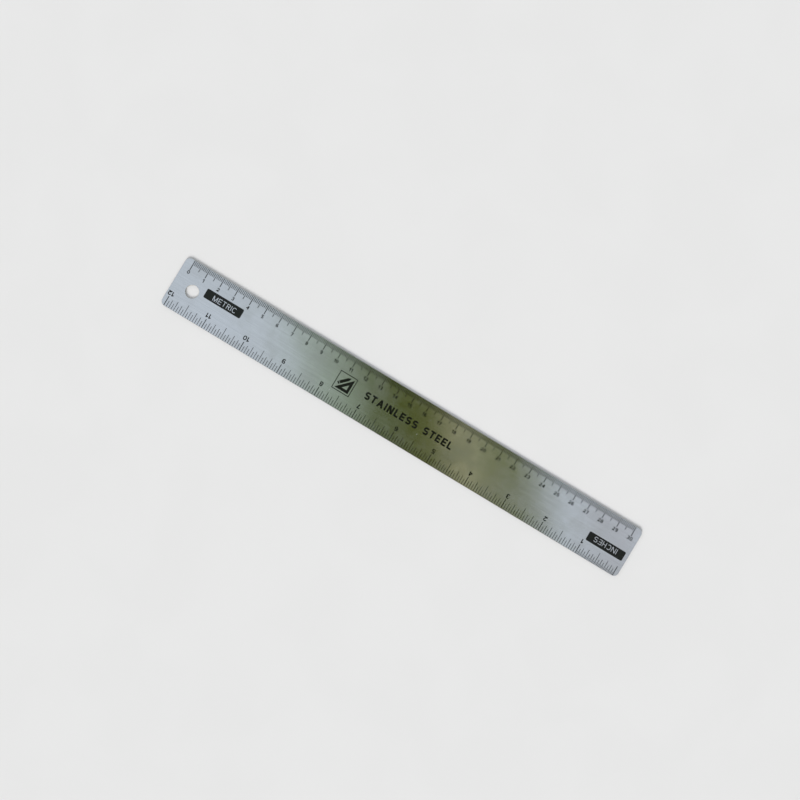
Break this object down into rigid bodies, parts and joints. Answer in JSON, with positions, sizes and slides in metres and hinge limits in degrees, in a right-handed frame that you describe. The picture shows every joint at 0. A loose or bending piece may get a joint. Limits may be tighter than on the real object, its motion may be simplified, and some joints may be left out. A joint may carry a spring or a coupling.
{
  "type": "steel ruler",
  "caption": "Flat stainless steel ruler with metric and inch graduations, black filled marks, two label panels and a hanging hole.",
  "frame": {"origin": "middle of the underside of the blade", "axes": "+X runs along the blade from the hanging hole towards the 30 cm end, +Y points to the metric edge, +Z comes up through the graduated face"},
  "size_m": [0.31, 0.0318, 0.001],
  "materials": {
    "satin_stainless_steel": "satin stainless steel, lightly brushed along its length",
    "black_enamel": "black enamel wiped into the etched lines, slightly matt",
    "black_panel_enamel": "black enamel in the wide etched areas, half gloss"
  },
  "bodies": {
    "root": {"steel_blade": "satin_stainless_steel", "millimetre_lines": "black_enamel", "five_millimetre_lines": "black_enamel", "centimetre_lines": "black_enamel", "metric_end_lines": "black_enamel", "centimetre_numerals": "black_enamel", "thirty_second_inch_lines": "black_enamel", "sixteenth_inch_lines": "black_enamel", "eighth_inch_lines": "black_enamel", "quarter_inch_lines": "black_enamel", "half_inch_lines": "black_enamel", "inch_lines": "black_enamel", "inch_end_lines": "black_enamel", "inch_numerals": "black_enamel", "metric_label_panel": "black_panel_enamel", "inches_label_panel": "black_panel_enamel", "emblem_frame": "black_enamel", "emblem_set_square": "black_panel_enamel", "emblem_pencil": "black_panel_enamel", "stainless_steel_lettering": "black_panel_enamel"}
  },
  "joints": []
}
